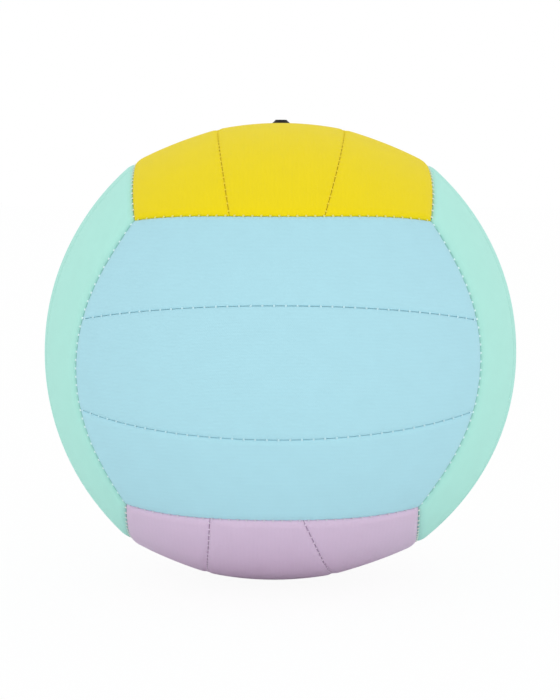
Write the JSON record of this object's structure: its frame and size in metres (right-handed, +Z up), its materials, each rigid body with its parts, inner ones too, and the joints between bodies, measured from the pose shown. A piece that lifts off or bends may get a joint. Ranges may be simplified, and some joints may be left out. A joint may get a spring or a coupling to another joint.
{
  "type": "volleyball",
  "caption": "Soft-touch volleyball: six faces of parallel sewn strips in pastel colours and yellow, foam-backed over a bladder, with a black inflation valve on top.",
  "frame": {"origin": "middle of the ball, at the centre of its box", "axes": "+Z up through the inflation valve in the middle of the yellow face; -Y out of the light blue face that the picture shows; +X to the right in the picture, out of a mint face"},
  "size_m": [0.21, 0.21, 0.205],
  "materials": {
    "cover_blue": "light blue knitted fabric, matt",
    "cover_mint": "mint knitted fabric, matt",
    "cover_yellow": "yellow knitted fabric, matt",
    "cover_lilac": "lilac knitted fabric, matt",
    "pad_foam": "off-white closed-cell foam",
    "seam_thread": "pale twisted sewing thread",
    "bladder_rubber": "dark grey rubber, matt",
    "valve_rubber": "black rubber, satin",
    "ring_tape": "unbleached cotton tape"
  },
  "bodies": {
    "root": {"front_lower_cover": "cover_blue", "front_middle_cover": "cover_blue", "front_upper_cover": "cover_blue", "back_lower_cover": "cover_blue", "back_middle_cover": "cover_blue", "back_upper_cover": "cover_blue", "left_front_cover": "cover_mint", "left_middle_cover": "cover_mint", "left_back_cover": "cover_mint", "right_front_cover": "cover_mint", "right_middle_cover": "cover_mint", "right_back_cover": "cover_mint", "top_left_cover": "cover_yellow", "top_middle_cover": "cover_yellow", "top_right_cover": "cover_yellow", "bottom_left_cover": "cover_lilac", "bottom_middle_cover": "cover_lilac", "bottom_right_cover": "cover_lilac", "front_lower_pad": "pad_foam", "front_middle_pad": "pad_foam", "front_upper_pad": "pad_foam", "back_lower_pad": "pad_foam", "back_middle_pad": "pad_foam", "back_upper_pad": "pad_foam", "left_front_pad": "pad_foam", "left_middle_pad": "pad_foam", "left_back_pad": "pad_foam", "right_front_pad": "pad_foam", "right_middle_pad": "pad_foam", "right_back_pad": "pad_foam", "top_left_pad": "pad_foam", "top_middle_pad": "pad_foam", "top_right_pad": "pad_foam", "bottom_left_pad": "pad_foam", "bottom_middle_pad": "pad_foam", "bottom_right_pad": "pad_foam", "front_strip_thread": "seam_thread", "back_strip_thread": "seam_thread", "left_strip_thread": "seam_thread", "right_strip_thread": "seam_thread", "top_strip_thread": "seam_thread", "bottom_strip_thread": "seam_thread", "front_end_thread": "seam_thread", "back_end_thread": "seam_thread", "left_end_thread": "seam_thread", "right_end_thread": "seam_thread", "top_end_thread": "seam_thread", "bottom_end_thread": "seam_thread", "bladder": "bladder_rubber", "valve_boot": "bladder_rubber", "valve_plug": "valve_rubber", "valve_ring": "ring_tape"}
  },
  "joints": []
}
